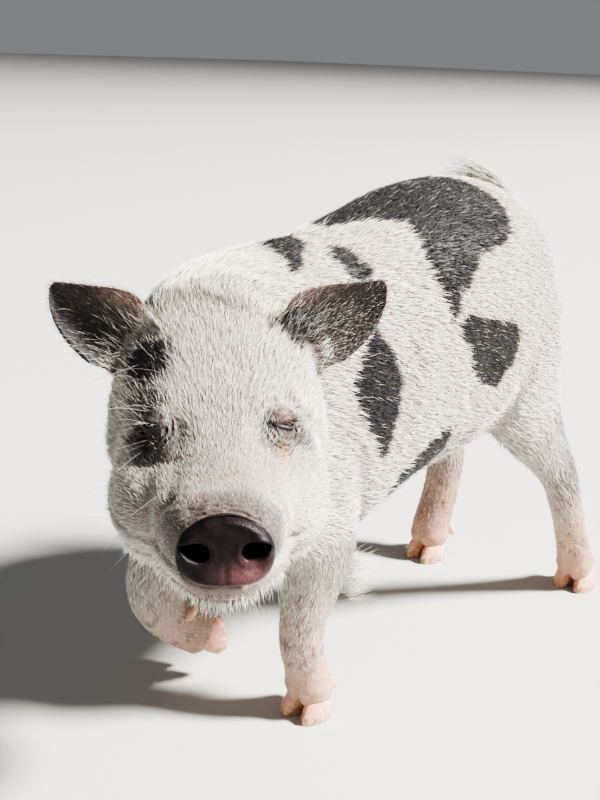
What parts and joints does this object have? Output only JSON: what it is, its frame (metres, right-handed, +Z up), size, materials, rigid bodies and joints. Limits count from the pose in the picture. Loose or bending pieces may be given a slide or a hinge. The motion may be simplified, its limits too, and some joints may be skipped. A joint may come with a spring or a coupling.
{
  "type": "pig",
  "caption": "Life-size still model of a young spotted miniature pig that walks with its right foreleg lifted and its head turned to its left, for display on a floor",
  "frame": {"origin": "centre of the bounding box in plan, at the level of the soles", "axes": "+X to the animal's left, -Y the way the body faces, +Z up"},
  "size_m": [0.2736, 0.5798, 0.3901],
  "materials": {
    "hide": "pale pinkish skin under coarse white bristles, with grey-black patches",
    "snout": "bare, moist, dark maroon nose skin",
    "eye": "wet dark eye",
    "claw": "smooth pinkish-tan horn"
  },
  "bodies": {
    "root": {"torso": "hide", "neck": "hide", "head": "hide", "ear_left": "hide", "ear_right": "hide", "tail": "hide", "foreleg_left": "hide", "foreleg_right": "hide", "hindleg_left": "hide", "hindleg_right": "hide", "snout_disc": "snout", "eye_left": "eye", "eye_right": "eye", "hoof_front_left_inner": "claw", "hoof_front_left_outer": "claw", "hoof_front_right_inner": "claw", "hoof_front_right_outer": "claw", "hoof_hind_left_inner": "claw", "hoof_hind_left_outer": "claw", "hoof_hind_right_inner": "claw", "hoof_hind_right_outer": "claw", "dewclaw_front_left_inner": "claw", "dewclaw_front_left_outer": "claw", "dewclaw_front_right_inner": "claw", "dewclaw_front_right_outer": "claw", "dewclaw_hind_left_inner": "claw", "dewclaw_hind_left_outer": "claw", "dewclaw_hind_right_inner": "claw", "dewclaw_hind_right_outer": "claw"}
  },
  "joints": []
}
